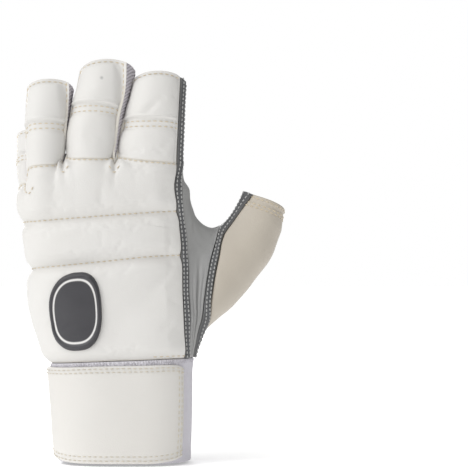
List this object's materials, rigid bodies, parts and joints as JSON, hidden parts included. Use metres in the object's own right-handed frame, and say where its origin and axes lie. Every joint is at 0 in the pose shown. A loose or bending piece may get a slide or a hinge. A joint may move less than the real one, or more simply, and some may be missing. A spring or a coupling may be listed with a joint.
{
  "type": "football lineman glove",
  "caption": "Left-hand padded half-finger lineman glove with quilted white leather back, grey suede palm, knit elastic cuff and wrapped wrist strap",
  "frame": {"origin": "centre of the open end of the cuff, inside the wrist, where a wrist or a form would hold the glove", "axes": "row +Z runs from the open end of the cuff toward the fingertips; row +X points to the thumb side; row -Y is the padded back of the hand and row +Y the palm"},
  "size_m": [0.1514, 0.0696, 0.2202],
  "materials": {
    "white_leather": "soft satin, fine grain",
    "ivory_leather": "soft satin, fine grain",
    "strap_leather": "satin, edges honey-yellowed",
    "grey_suede": "matte suede nap",
    "grey_leather": "smooth satin",
    "dark_binding": "satin, stitched",
    "ribbed_knit": "ribbed knit",
    "white_elastic": "knit elastic",
    "loop_fabric": "fuzzy loop pile",
    "badge_rubber": "satin moulded"
  },
  "bodies": {
    "root": {"back_pad": "white_leather", "finger_back_little": "white_leather", "finger_back_ring": "white_leather", "finger_back_middle": "white_leather", "finger_back_index": "white_leather", "fourchette_little_ring": "ribbed_knit", "fourchette_ring_middle": "ribbed_knit", "fourchette_middle_index": "ribbed_knit", "palm": "grey_suede", "thumb_palm": "grey_leather", "side_panel": "grey_leather", "thumb_back": "ivory_leather", "index_binding": "dark_binding", "thumb_binding": "dark_binding", "thumb_base_binding": "dark_binding", "heel_patch": "grey_suede", "wrist_elastic": "white_elastic", "wrist_strap": "strap_leather", "loop_patch": "loop_fabric", "badge": "badge_rubber"}
  },
  "joints": []
}
